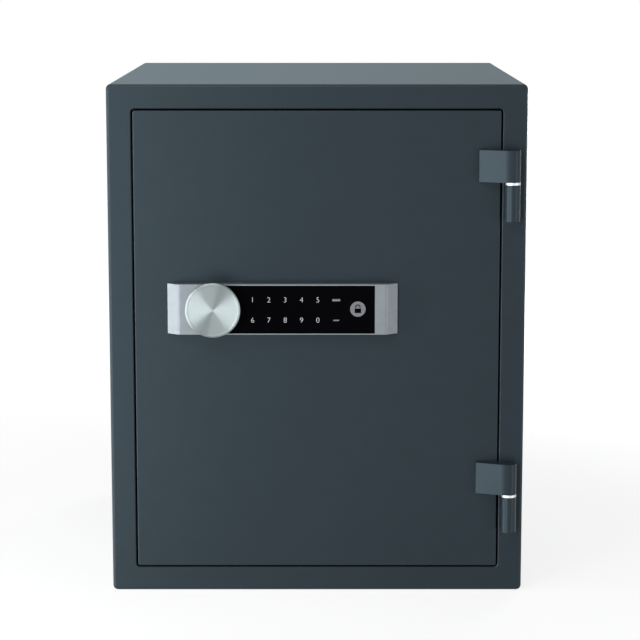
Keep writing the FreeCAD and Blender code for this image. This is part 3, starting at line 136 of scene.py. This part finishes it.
def own_place(tree):
    """The piece's own coordinates in metres."""
    return tree.nodes.new("ShaderNodeTexCoord").outputs["Object"]


def vector_math(tree, operation, value, operand=(0.0, 0.0, 0.0)):
    node = tree.nodes.new("ShaderNodeVectorMath")
    node.operation = operation
    node.inputs[1].default_value = operand
    tree.links.new(value, node.inputs[0])
    return node


def noise(tree, scale, detail, stretch=UNSTRETCHED):
    """Noise in the piece's own coordinates, each axis scaled by its stretch."""
    mapping = tree.nodes.new("ShaderNodeMapping")
    mapping.inputs["Scale"].default_value = stretch
    tree.links.new(own_place(tree), mapping.inputs["Vector"])
    texture = tree.nodes.new("ShaderNodeTexNoise")
    texture.inputs["Scale"].default_value = scale
    texture.inputs["Detail"].default_value = detail
    tree.links.new(mapping.outputs["Vector"], texture.inputs["Vector"])
    return texture.outputs["Fac"]


def remap(tree, value, source, result):
    """A value moved from one range to another and kept inside it."""
    node = tree.nodes.new("ShaderNodeMapRange")
    node.inputs["From Min"].default_value = source[0]
    node.inputs["From Max"].default_value = source[1]
    node.inputs["To Min"].default_value = result[0]
    node.inputs["To Max"].default_value = result[1]
    tree.links.new(value, node.inputs["Value"])
    return node.outputs["Result"]


def blend(tree, factor, first, second):
    """Colour between two tones."""
    mix = tree.nodes.new("ShaderNodeMix")
    mix.data_type = "RGBA"
    mix.inputs["A"].default_value = (*first, 1.0)
    mix.inputs["B"].default_value = (*second, 1.0)
    tree.links.new(factor, mix.inputs["Factor"])
    return mix.outputs["Result"]


def tint(tree, shader, value, tones):
    """Base colour between two tones, chosen by a noise value."""
    factor = remap(tree, value, NOISE_RANGE, UNIT_RANGE)
    tree.links.new(blend(tree, factor, *tones), shader.inputs["Base Color"])


def roughen(tree, shader, value, rough):
    tree.links.new(remap(tree, value, NOISE_RANGE, rough), shader.inputs["Roughness"])


def emboss(tree, shader, value, depth):
    """Bump of a depth in metres from a noise value."""
    node = tree.nodes.new("ShaderNodeBump")
    node.inputs["Strength"].default_value = 1.0
    node.inputs["Distance"].default_value = depth
    tree.links.new(value, node.inputs["Height"])
    tree.links.new(node.outputs["Normal"], shader.inputs["Normal"])


def textured(name, tones, grain, rough, depth, metallic=0.0, specular=0.5, stretch=UNSTRETCHED):
    """Material with two tones, a grain size in metres, a roughness range and a bump depth."""
    material, tree, shader = new_material(name)
    shader.inputs["Metallic"].default_value = metallic
    shader.inputs["Specular IOR Level"].default_value = specular
    tint(tree, shader, noise(tree, BLOTCH_SCALE / grain, BLOTCH_DETAIL), tones)
    fine = noise(tree, 1.0 / grain, GRAIN_DETAIL, stretch)
    roughen(tree, shader, fine, rough)
    emboss(tree, shader, fine, depth)
    return material, shader


# Materials


def slate_paint():
    tones = ((0.0163, 0.0230, 0.0277), (0.0177, 0.0250, 0.0303))
    material, shader = textured("slate_paint", tones, 0.0009, (0.34, 0.40), 0.00002, specular=0.29)
    shader.inputs["Specular Tint"].default_value = (0.62, 0.85, 1.0, 1.0)
    return material


def cast_fill():
    tones = ((0.52, 0.50, 0.45), (0.66, 0.64, 0.58))
    return textured("cast_fill", tones, 0.0040, (0.85, 0.95), 0.0006)[0]


def grey_moulding():
    tones = ((0.50, 0.51, 0.51), (0.54, 0.55, 0.55))
    return textured("grey_moulding", tones, 0.0008, (0.50, 0.62), 0.00003, specular=0.4)[0]


def zinc_steel():
    tones = ((0.50, 0.52, 0.55), (0.58, 0.57, 0.53))
    return textured("zinc_steel", tones, 0.0020, (0.28, 0.42), 0.00001, metallic=1.0)[0]


def bright_steel():
    tones = ((0.56, 0.57, 0.58), (0.62, 0.63, 0.64))
    return textured("bright_steel", tones, 0.0006, (0.44, 0.54), 0.000004, metallic=1.0)[0]


def satin_aluminium():
    tones = ((0.175, 0.195, 0.212), (0.192, 0.212, 0.230))
    rough = (0.49, 0.57)
    return textured("satin_aluminium", tones, 0.0004, rough, 0.000003, metallic=1.0, stretch=ALONG_BAR)[0]


def turned_aluminium():
    """Faced on a lathe: fine rings about the knob's axis, with their stretched highlight."""
    material, tree, shader = new_material("turned_aluminium")
    low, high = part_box("knob")
    centre = (low + high) / 2
    offset = vector_math(tree, "SUBTRACT", own_place(tree), centre).outputs["Vector"]
    spoke = vector_math(tree, "MULTIPLY", offset, KNOB_FACE).outputs["Vector"]
    rings = tree.nodes.new("ShaderNodeTexNoise")
    rings.noise_dimensions = "1D"
    rings.inputs["Scale"].default_value = RING_SCALE
    rings.inputs["Detail"].default_value = GRAIN_DETAIL
    tree.links.new(vector_math(tree, "LENGTH", spoke).outputs["Value"], rings.inputs["W"])
    turn = tree.nodes.new("ShaderNodeVectorTransform")
    turn.vector_type = "VECTOR"
    turn.convert_from = "OBJECT"
    turn.convert_to = "WORLD"
    tree.links.new(spoke, turn.inputs["Vector"])
    tree.links.new(turn.outputs["Vector"], shader.inputs["Tangent"])
    shader.inputs["Metallic"].default_value = 1.0
    shader.inputs["Anisotropic"].default_value = 1.0
    tint(tree, shader, rings.outputs["Fac"], ((0.27, 0.31, 0.315), (0.325, 0.37, 0.375)))
    roughen(tree, shader, rings.outputs["Fac"], (0.38, 0.46))
    emboss(tree, shader, rings.outputs["Fac"], 0.000004)
    return material


def black_glass():
    tones = ((0.0010, 0.0010, 0.0016), (0.0014, 0.0014, 0.0020))
    return textured("black_glass", tones, 0.0100, (0.05, 0.07), 0.0, specular=0.012)[0]


def bronze():
    tones = ((0.42, 0.29, 0.14), (0.50, 0.36, 0.19))
    return textured("bronze", tones, 0.0010, (0.30, 0.42), 0.000006, metallic=1.0)[0]


def black_rubber():
    tones = ((0.016, 0.016, 0.017), (0.022, 0.022, 0.023))
    return textured("black_rubber", tones, 0.0006, (0.75, 0.88), 0.00004, specular=0.3)[0]


def green_board():
    tones = ((0.010, 0.120, 0.045), (0.020, 0.170, 0.070))
    return textured("green_board", tones, 0.0030, (0.30, 0.42), 0.00002)[0]


def black_plastic():
    tones = ((0.018, 0.018, 0.020), (0.024, 0.024, 0.026))
    return textured("black_plastic", tones, 0.0007, (0.48, 0.60), 0.00003, specular=0.4)[0]


def cell_wrap():
    tones = ((0.040, 0.042, 0.050), (0.060, 0.062, 0.070))
    return textured("cell_wrap", tones, 0.0080, (0.22, 0.30), 0.000005)[0]


def panel_print():
    """Pale marks that glow a little, as if lit from behind the panel."""
    tones = ((0.41, 0.43, 0.46), (0.48, 0.51, 0.54))
    material, shader = textured("panel_print", tones, 0.0006, (0.45, 0.60), 0.0)
    shader.inputs["Emission Color"].default_value = (0.80, 0.88, 1.0, 1.0)
    shader.inputs["Emission Strength"].default_value = 0.14
    return material


def emblem_print():
    tones = ((0.144, 0.150, 0.158), (0.175, 0.182, 0.190))
    return textured("emblem_print", tones, 0.0006, (0.45, 0.60), 0.0)[0]


def dress_nodes():
    """Give every solid the material of its slot in the record."""
    makers = {
        "slate_paint": slate_paint,
        "cast_fill": cast_fill,
        "grey_moulding": grey_moulding,
        "zinc_steel": zinc_steel,
        "bright_steel": bright_steel,
        "satin_aluminium": satin_aluminium,
        "turned_aluminium": turned_aluminium,
        "black_glass": black_glass,
        "bronze": bronze,
        "black_rubber": black_rubber,
        "green_board": green_board,
        "black_plastic": black_plastic,
        "cell_wrap": cell_wrap,
    }
    made = {slot: make() for slot, make in makers.items()}
    for subpart in frame["record"]["subparts"]:
        data = nodes[subpart["node"]].data
        data.materials.clear()
        data.materials.append(made[subpart["material_slot"]])
    return made


# Touch panel marks


def link_piece(name, mesh, material, body):
    mesh.materials.append(material)
    piece = bpy.data.objects.new(name, mesh)
    bpy.context.scene.collection.objects.link(piece)
    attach(piece, body)
    return piece


def mesh_from_curve(curve, matrix):
    """Mesh of a text or flat curve, laid on the panel by a matrix."""
    holder = bpy.data.objects.new("holder", curve)
    bpy.context.scene.collection.objects.link(holder)
    bpy.context.view_layer.update()
    seen = holder.evaluated_get(bpy.context.evaluated_depsgraph_get())
    mesh = bpy.data.meshes.new_from_object(seen)
    bpy.data.objects.remove(holder)
    mesh.transform(matrix)
    return mesh


def on_panel(x, z):
    """Matrix that stands a flat drawing on the front of the touch panel, facing forwards."""
    low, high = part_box("touch_glass")
    middle = (low.z + high.z) / 2 + PANEL_RISE
    spot = Vector((low.x + x, low.y, middle + z))
    return Matrix.Translation(spot) @ Matrix.Rotation(math.radians(90), 4, "X")


def digit_mesh(text, x, z):
    """Thin plate in the shape of a digit, whose height is a fixed share of the font's size."""
    curve = bpy.data.curves.new("digit", "FONT")
    curve.body = text
    curve.size = DIGIT_HEIGHT / DIGIT_SHARE
    curve.align_x = "CENTER"
    curve.align_y = "CENTER"
    curve.extrude = PRINT_RISE
    curve.offset = DIGIT_THINNING
    return mesh_from_curve(curve, on_panel(x, z))


def add_outline(curve, points):
    spline = curve.splines.new("POLY")
    spline.points.add(len(points) - 1)
    for spot, (x, y) in zip(spline.points, points):
        spot.co = (x, y, 0.0, 1.0)
    spline.use_cyclic_u = True


def arc_points(x, y, radius, start, end, steps):
    points = []
    for step in range(steps + 1):
        angle = math.radians(start + (end - start) * step / steps)
        points.append((x + radius * math.cos(angle), y + radius * math.sin(angle)))
    return points


def pill_points(length, height):
    reach = (length - height) / 2
    radius = height / 2
    right = arc_points(reach, 0, radius, -90, 90, CURVE_STEPS // 2)
    left = arc_points(-reach, 0, radius, 90, 270, CURVE_STEPS // 2)
    return right + left


def flat_mesh(outlines, x, z):
    """Thin plate on the panel, with each further outline as a hole."""
    curve = bpy.data.curves.new("mark", "CURVE")
    curve.dimensions = "2D"
    curve.fill_mode = "BOTH"
    curve.extrude = PRINT_RISE
    for points in outlines:
        add_outline(curve, points)
    return mesh_from_curve(curve, on_panel(x, z))


def emblem_outlines():
    """Disc with a padlock cut out of it."""
    disc = arc_points(0, 0, EMBLEM_RADIUS, 0, 360, 2 * CURVE_STEPS)[:-1]
    body = [
        (-PADLOCK_HALF, PADLOCK_LOW),
        (PADLOCK_HALF, PADLOCK_LOW),
        (PADLOCK_HALF, PADLOCK_HIGH),
        (-PADLOCK_HALF, PADLOCK_HIGH),
    ]
    foot = PADLOCK_HIGH + SHACKLE_GAP
    bend = foot + SHACKLE_LEG
    outside = arc_points(0, bend, SHACKLE_OUTER, 0, 180, CURVE_STEPS)
    inside = arc_points(0, bend, SHACKLE_INNER, 180, 0, CURVE_STEPS)
    shackle = [(SHACKLE_OUTER, foot)] + outside + [(-SHACKLE_OUTER, foot)]
    shackle += [(-SHACKLE_INNER, foot)] + inside + [(SHACKLE_INNER, foot)]
    return [disc, body, shackle]


def joined(meshes, name):
    """One mesh of several, with doubled points welded and all faces turned outwards."""
    whole = bmesh.new()
    for mesh in meshes:
        whole.from_mesh(mesh)
        bpy.data.meshes.remove(mesh)
    bmesh.ops.remove_doubles(whole, verts=whole.verts, dist=WELD)
    bmesh.ops.recalc_face_normals(whole, faces=whole.faces)
    mesh = bpy.data.meshes.new(name)
    whole.to_mesh(mesh)
    whole.free()
    return mesh


def panel_marks():
    """Digits, two plain marks on the keys beside them, and a padlock emblem."""
    digits = []
    for row, text in ((ROW_RISE, "12345"), (-ROW_RISE, "67890")):
        for column, digit in enumerate(text):
            digits.append(digit_mesh(digit, FIRST_DIGIT + DIGIT_PITCH * column, row))
    white = panel_print()
    link_piece("panel_digits", joined(digits, "panel_digits"), white, "door")
    keys = [
        flat_mesh([pill_points(*UPPER_KEY)], KEY_COLUMN, ROW_RISE),
        flat_mesh([pill_points(*LOWER_KEY)], KEY_COLUMN, -ROW_RISE),
    ]
    grey = emblem_print()
    link_piece("panel_keys", joined(keys, "panel_keys"), grey, "door")
    emblem = [flat_mesh(emblem_outlines(), EMBLEM_COLUMN, EMBLEM_RISE)]
    link_piece("panel_emblem", joined(emblem, "panel_emblem"), grey, "door")


# Fasteners


def mesh_from_shape(shape, name):
    mesh = bpy.data.meshes.new(name)
    shape.to_mesh(mesh)
    shape.free()
    return mesh


def lathe_mesh(profile):
    """Closed mesh of a profile of (radius, height) pairs turned about Z, from its top centre to its rim."""
    shape = bmesh.new()
    top = shape.verts.new((0.0, 0.0, profile[0][1]))
    rings = []
    for radius, height in profile[1:]:
        circle = arc_points(0, 0, radius, 0, 360, CURVE_STEPS)[:-1]
        rings.append([shape.verts.new((x, y, height)) for x, y in circle])
    for index in range(CURVE_STEPS):
        after = (index + 1) % CURVE_STEPS
        shape.faces.new((top, rings[0][index], rings[0][after]))
        for inner, outer in zip(rings, rings[1:]):
            shape.faces.new((inner[index], outer[index], outer[after], inner[after]))
    shape.faces.new(list(reversed(rings[-1])))
    return mesh_from_shape(shape, "turned")


def cross_mesh(reach, half, low, high):
    """Upright prism in the shape of a plus sign."""
    outline = [
        (reach, -half), (reach, half), (half, half), (half, reach), (-half, reach), (-half, half),
        (-reach, half), (-reach, -half), (-half, -half), (-half, -reach), (half, -reach), (half, -half),
    ]
    shape = bmesh.new()
    bottom = [shape.verts.new((x, y, low)) for x, y in outline]
    top = [shape.verts.new((x, y, high)) for x, y in outline]
    shape.faces.new(list(reversed(bottom)))
    shape.faces.new(top)
    for index in range(len(outline)):
        after = (index + 1) % len(outline)
        shape.faces.new((bottom[index], bottom[after], top[after], top[index]))
    return mesh_from_shape(shape, "cross")


def screw_head_mesh():
    """Domed head with a cross recess, standing on Z zero."""
    profile = []
    for step in range(DOME_STEPS + 1):
        lean = math.radians(90) * step / DOME_STEPS
        height = HEAD_RIM + (HEAD_HEIGHT - HEAD_RIM) * math.cos(lean)
        profile.append((HEAD_RADIUS * math.sin(lean), height))
    profile.append((HEAD_RADIUS, 0.0))
    head = bpy.data.objects.new("head", lathe_mesh(profile))
    cutter = cross_mesh(RECESS_REACH, RECESS_HALF, RECESS_FLOOR, 2 * HEAD_HEIGHT)
    recess = bpy.data.objects.new("recess", cutter)
    for piece in (head, recess):
        bpy.context.scene.collection.objects.link(piece)
    cut = head.modifiers.new("recess", "BOOLEAN")
    cut.operation = "DIFFERENCE"
    cut.object = recess
    bpy.context.view_layer.update()
    mesh = bpy.data.meshes.new_from_object(head.evaluated_get(bpy.context.evaluated_depsgraph_get()))
    for piece in (head, recess):
        data = piece.data
        bpy.data.objects.remove(piece)
        bpy.data.meshes.remove(data)
    return mesh


def screw_heads(material):
    """Heads of the inner cover's four screws, each turned its own way."""
    low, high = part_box("cover_screws")
    columns = (low.x + HEAD_RADIUS, high.x - HEAD_RADIUS)
    rows = (low.z + HEAD_RADIUS, high.z - HEAD_RADIUS)
    places = [(x, z) for x in columns for z in rows]
    heads = []
    for turn, (x, z) in zip(HEAD_TURNS, places):
        mesh = screw_head_mesh()
        spot = Matrix.Translation((x, high.y - HEAD_HEIGHT, z))
        facing = Matrix.Rotation(math.radians(-90), 4, "X")
        mesh.transform(spot @ facing @ Matrix.Rotation(math.radians(turn), 4, "Z"))
        heads.append(mesh)
    piece = link_piece("cover_screw_heads", joined(heads, "cover_screw_heads"), material, "door")
    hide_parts("cover_screws")


# Stage


def background_factor(tree):
    """One for rays that show the background: straight, mirrored and through glass."""
    path = tree.nodes.new("ShaderNodeLightPath")
    value = path.outputs["Is Camera Ray"]
    for name in ("Is Glossy Ray", "Is Transmission Ray"):
        larger = tree.nodes.new("ShaderNodeMath")
        larger.operation = "MAXIMUM"
        tree.links.new(value, larger.inputs[0])
        tree.links.new(path.outputs[name], larger.inputs[1])
        value = larger.outputs["Value"]
    return value


def white_world():
    """Weak fill light from all around, seen as white."""
    world = bpy.data.worlds.new("studio")
    bpy.context.scene.world = world
    world.use_nodes = True
    tree = world.node_tree
    fill = tree.nodes["Background"]
    fill.inputs["Color"].default_value = FILL_COLOUR
    fill.inputs["Strength"].default_value = FILL_STRENGTH
    white = tree.nodes.new("ShaderNodeBackground")
    white.inputs["Color"].default_value = WHITE
    white.inputs["Strength"].default_value = 1.0
    mix = tree.nodes.new("ShaderNodeMixShader")
    tree.links.new(background_factor(tree), mix.inputs["Fac"])
    tree.links.new(fill.outputs["Background"], mix.inputs[1])
    tree.links.new(white.outputs["Background"], mix.inputs[2])
    tree.links.new(mix.outputs["Shader"], tree.nodes["World Output"].inputs["Surface"])


def stage_material(name):
    """Material of the stage without a surface shader, and its nodes."""
    material, tree, shader = new_material(name)
    tree.nodes.remove(shader)
    return material, tree


def stage_plane(name, corners, material):
    mesh = bpy.data.meshes.new(name)
    mesh.from_pydata(corners, [], [(0, 1, 2, 3)])
    mesh.materials.append(material)
    plane = bpy.data.objects.new(name, mesh)
    bpy.context.scene.collection.objects.link(plane)
    return plane


def white_floor():
    """Floor that keeps the object's shadow and glows towards white with the distance from it."""
    material, tree = stage_material("floor")
    lit = tree.nodes.new("ShaderNodeBsdfDiffuse")
    lit.inputs["Color"].default_value = FLOOR_COLOUR
    reach = vector_math(tree, "LENGTH", own_place(tree)).outputs["Value"]
    level = tree.nodes.new("ShaderNodeMath")
    level.operation = "MULTIPLY"
    tree.links.new(remap(tree, reach, FLOOR_REACH, FLOOR_GLOW), level.inputs[0])
    tree.links.new(background_factor(tree), level.inputs[1])
    glow = tree.nodes.new("ShaderNodeEmission")
    tree.links.new(level.outputs["Value"], glow.inputs["Strength"])
    both = tree.nodes.new("ShaderNodeAddShader")
    tree.links.new(lit.outputs["BSDF"], both.inputs[0])
    tree.links.new(glow.outputs["Emission"], both.inputs[1])
    tree.links.new(both.outputs["Shader"], tree.nodes["Material Output"].inputs["Surface"])
    corners = [
        (-FLOOR_HALF, -FLOOR_HALF, -FLOOR_DROP),
        (FLOOR_HALF, -FLOOR_HALF, -FLOOR_DROP),
        (FLOOR_HALF, FLOOR_HALF, -FLOOR_DROP),
        (-FLOOR_HALF, FLOOR_HALF, -FLOOR_DROP),
    ]
    floor = stage_plane("floor", corners, material)


def backdrop():
    """Pale card behind the object that shows only in reflections."""
    material, tree = stage_material("backdrop")
    across = tree.nodes.new("ShaderNodeSeparateXYZ")
    tree.links.new(own_place(tree), across.inputs["Vector"])
    share = remap(tree, across.outputs["X"], CARD_BLEND, UNIT_RANGE)
    glow = tree.nodes.new("ShaderNodeEmission")
    tree.links.new(blend(tree, share, CARD_LEFT, CARD_RIGHT), glow.inputs["Color"])
    tree.links.new(glow.outputs["Emission"], tree.nodes["Material Output"].inputs["Surface"])
    corners = [
        (-CARD_HALF, CARD_PLACE, 0.0),
        (CARD_HALF, CARD_PLACE, 0.0),
        (CARD_HALF, CARD_PLACE, CARD_HEIGHT),
        (-CARD_HALF, CARD_PLACE, CARD_HEIGHT),
    ]
    card = stage_plane("backdrop", corners, material)
    card.visible_camera = False
    card.visible_diffuse = False
    card.visible_transmission = False
    card.visible_shadow = False


def open_floor():
    """Collection that keeps the floor from blocking a lamp."""
    if "open_floor" in bpy.data.collections:
        return bpy.data.collections["open_floor"]
    group = bpy.data.collections.new("open_floor")
    group.objects.link(bpy.data.objects["floor"])
    group.collection_objects[0].light_linking.link_state = "EXCLUDE"
    return group


def softbox(name, place, target, size, watts):
    """Rectangular lamp of a width and height, turned to a target."""
    light = bpy.data.lights.new(name, "AREA")
    light.shape = "RECTANGLE"
    light.size, light.size_y = size
    light.energy = watts
    lamp = bpy.data.objects.new(name, light)
    lamp.location = place
    lamp.rotation_euler = (Vector(target) - Vector(place)).to_track_quat("-Z", "Y").to_euler()
    lamp.visible_camera = False
    lamp.light_linking.blocker_collection = open_floor()
    bpy.context.scene.collection.objects.link(lamp)


def lights():
    softbox("side", (-0.85, -0.42, 0.19), (0.15, -0.21, 0.19), size=(0.3, 1.1), watts=7.6)
    softbox("front", (-0.70, -1.32, 0.18), (0.05, -0.21, 0.17), size=(0.35, 1.2), watts=12.0)
    softbox("right", (1.10, -0.92, 0.15), (0.15, -0.21, 0.20), size=(0.3, 1.0), watts=3.4)
    softbox("brow", (-0.30, -0.90, 1.10), (0.0, -0.21, 0.40), size=(0.8, 0.2), watts=4.0)
    softbox("top", (0.0, 0.15, 2.2), (0.0, 0.05, 0.5), size=(1.2, 1.2), watts=4.8)
    softbox("flank", (0.95, 1.5, 0.4), (0.2, 0.0, 0.25), size=(0.5, 0.8), watts=16.0)
    softbox("back", (0.6, 1.6, 0.28), (0.0, 0.2, 0.26), size=(1.2, 0.4), watts=14.4)


def camera():
    data = bpy.data.cameras.new("camera")
    data.sensor_width = SENSOR_MILLIMETRES
    data.lens = SENSOR_MILLIMETRES * FOCAL_PIXELS / FRAME_PIXELS
    data.shift_y = CAMERA_SHIFT
    data.clip_end = VIEW_REACH
    view = bpy.data.objects.new("camera", data)
    view.location = CAMERA_PLACE
    view.rotation_euler = (math.radians(90) - CAMERA_PITCH, 0.0, 0.0)
    bpy.context.scene.collection.objects.link(view)
    bpy.context.scene.camera = view


bpy.context.scene.view_settings.view_transform = "Standard"
materials = dress_nodes()
screw_heads(materials["bright_steel"])
panel_marks()
white_world()
white_floor()
backdrop()
lights()
camera()
